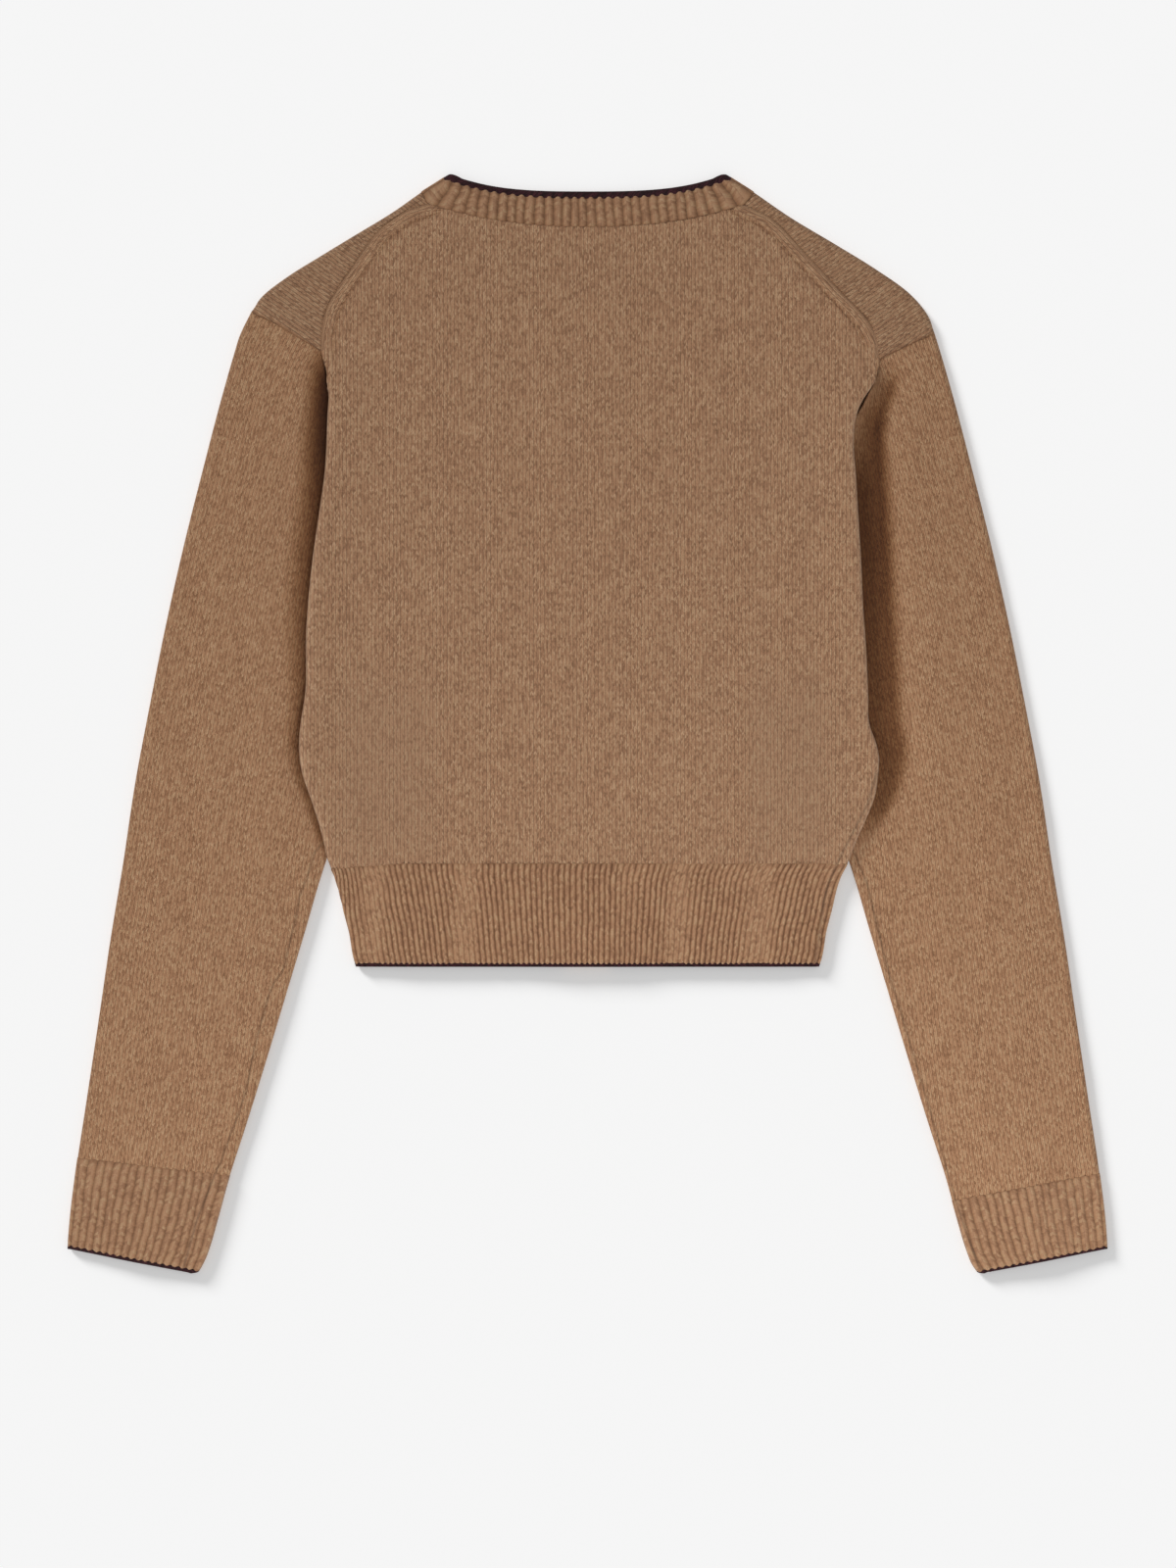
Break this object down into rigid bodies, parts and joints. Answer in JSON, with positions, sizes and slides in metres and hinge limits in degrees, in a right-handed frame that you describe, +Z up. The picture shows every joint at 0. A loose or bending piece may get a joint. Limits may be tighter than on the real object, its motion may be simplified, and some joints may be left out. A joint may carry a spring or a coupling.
{
  "type": "cardigan",
  "caption": "Cropped fine-knit cardigan with a ribbed round neck, ribbed hem and cuffs and dark tipped edges, buttoned and laid flat with its back up.",
  "frame": {"origin": "Bottom centre of the garment's box: the middle of its plan, on the surface it lies on.", "axes": "+X towards the wearer's right sleeve, +Y from the hem towards the neck, +Z up off the surface, out of the garment's back, towards the camera."},
  "size_m": [0.6378, 0.675, 0.0084],
  "materials": {
    "knit": "heathered camel stockinette and rib, matt, slightly fuzzy",
    "tipping": "near-black wine knitted edge, matt",
    "horn": "dark brown horn-like, soft gloss"
  },
  "bodies": {
    "root": {"back": "knit", "front_left": "knit", "front_right": "knit", "sleeve_left": "knit", "sleeve_right": "knit", "cuff_left": "knit", "cuff_right": "knit", "hem_back": "knit", "hem_front_left": "knit", "hem_front_right": "knit", "neckband": "knit", "button_band": "knit", "buttonhole_band": "knit", "tipping_neck": "tipping", "tipping_hem": "tipping", "tipping_cuff_left": "tipping", "tipping_cuff_right": "tipping", "button_1": "horn", "button_2": "horn", "button_3": "horn", "button_4": "horn", "button_5": "horn", "button_6": "horn", "button_7": "horn"}
  },
  "joints": []
}
